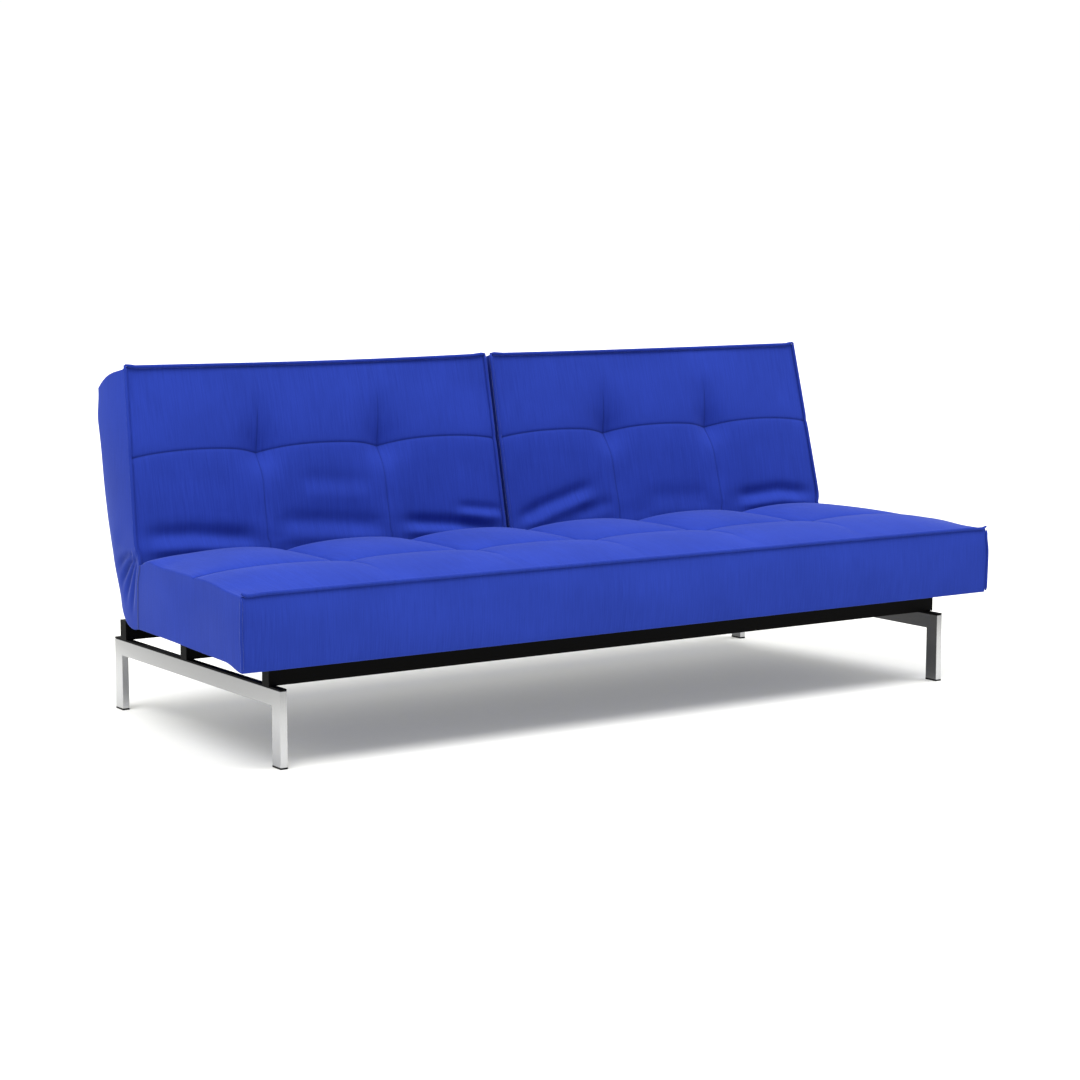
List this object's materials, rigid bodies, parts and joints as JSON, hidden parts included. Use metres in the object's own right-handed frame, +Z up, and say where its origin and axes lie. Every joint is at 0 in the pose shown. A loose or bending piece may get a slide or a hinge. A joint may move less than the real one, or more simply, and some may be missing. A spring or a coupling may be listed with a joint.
{
  "type": "futon sofa bed",
  "caption": "Low armless sofa bed: wide seat mattress on black cross rails and inverted-U steel leg frames, with a split, quilted backrest whose halves recline flat.",
  "frame": {"origin": "middle of the overall footprint, on the floor under the glides", "axes": "+X across the width towards the right half as seen from the front, +Y towards the back, +Z up"},
  "size_m": [2.098, 0.873, 0.8235],
  "materials": {
    "blue_cloth": "matte",
    "leg_steel": "satin",
    "black_rail": "satin",
    "black_cap": "matte",
    "black_strip": "matte",
    "black_glide": "matte",
    "frame_steel": "satin",
    "slat_wood": "satin",
    "panel_cloth": "matte",
    "fitting_steel": "satin",
    "friction_disc": "matte"
  },
  "bodies": {
    "base": {"leg_frame_left": "leg_steel", "foot_glide_front_left": "black_glide", "foot_glide_rear_left": "black_glide", "bar_strip_left": "black_strip", "leg_frame_right": "leg_steel", "foot_glide_front_right": "black_glide", "foot_glide_rear_right": "black_glide", "bar_strip_right": "black_strip", "front_rail": "black_rail", "front_rail_cap_left": "black_cap", "front_rail_cap_right": "black_cap", "middle_rail": "black_rail", "middle_rail_cap_left": "black_cap", "middle_rail_cap_right": "black_cap", "rear_rail": "black_rail", "rear_rail_cap_left": "black_cap", "rear_rail_cap_right": "black_cap", "seat_front_tube": "frame_steel", "seat_rear_tube": "frame_steel", "seat_side_tube_left": "frame_steel", "seat_side_tube_right": "frame_steel", "seat_slat_1": "slat_wood", "seat_slat_2": "slat_wood", "seat_slat_3": "slat_wood", "seat_slat_4": "slat_wood", "seat_slat_5": "slat_wood", "seat_mattress": "blue_cloth", "seat_bracket_inner_left": "fitting_steel", "pivot_bolt_inner_left": "fitting_steel", "seat_bracket_outer_left": "fitting_steel", "pivot_bolt_outer_left": "fitting_steel", "seat_bracket_inner_right": "fitting_steel", "pivot_bolt_inner_right": "fitting_steel", "seat_bracket_outer_right": "fitting_steel", "pivot_bolt_outer_right": "fitting_steel"},
    "back_left": {"back_mattress_left": "blue_cloth", "back_upright_inner_left": "frame_steel", "back_arm_inner_left": "fitting_steel", "friction_disc_inner_left": "friction_disc", "back_upright_outer_left": "frame_steel", "back_arm_outer_left": "fitting_steel", "friction_disc_outer_left": "friction_disc", "back_top_tube_left": "frame_steel", "back_bottom_tube_left": "frame_steel", "back_slat_left_1": "slat_wood", "back_slat_left_2": "slat_wood", "back_panel_left": "panel_cloth"},
    "back_right": {"back_mattress_right": "blue_cloth", "back_upright_inner_right": "frame_steel", "back_arm_inner_right": "fitting_steel", "friction_disc_inner_right": "friction_disc", "back_upright_outer_right": "frame_steel", "back_arm_outer_right": "fitting_steel", "friction_disc_outer_right": "friction_disc", "back_top_tube_right": "frame_steel", "back_bottom_tube_right": "frame_steel", "back_slat_right_1": "slat_wood", "back_slat_right_2": "slat_wood", "back_panel_right": "panel_cloth"}
  },
  "joints": [
    {"name": "back_left_recline", "type": "hinge", "parent": "base", "child": "back_left", "pos_m": [-0.5, 0.2205, 0.32], "axis": [-1, 0, 0], "range_deg": [-10, 77.7]},
    {"name": "back_right_recline", "type": "hinge", "parent": "base", "child": "back_right", "pos_m": [0.5, 0.2205, 0.32], "axis": [-1, 0, 0], "range_deg": [-10, 77.7]}
  ]
}
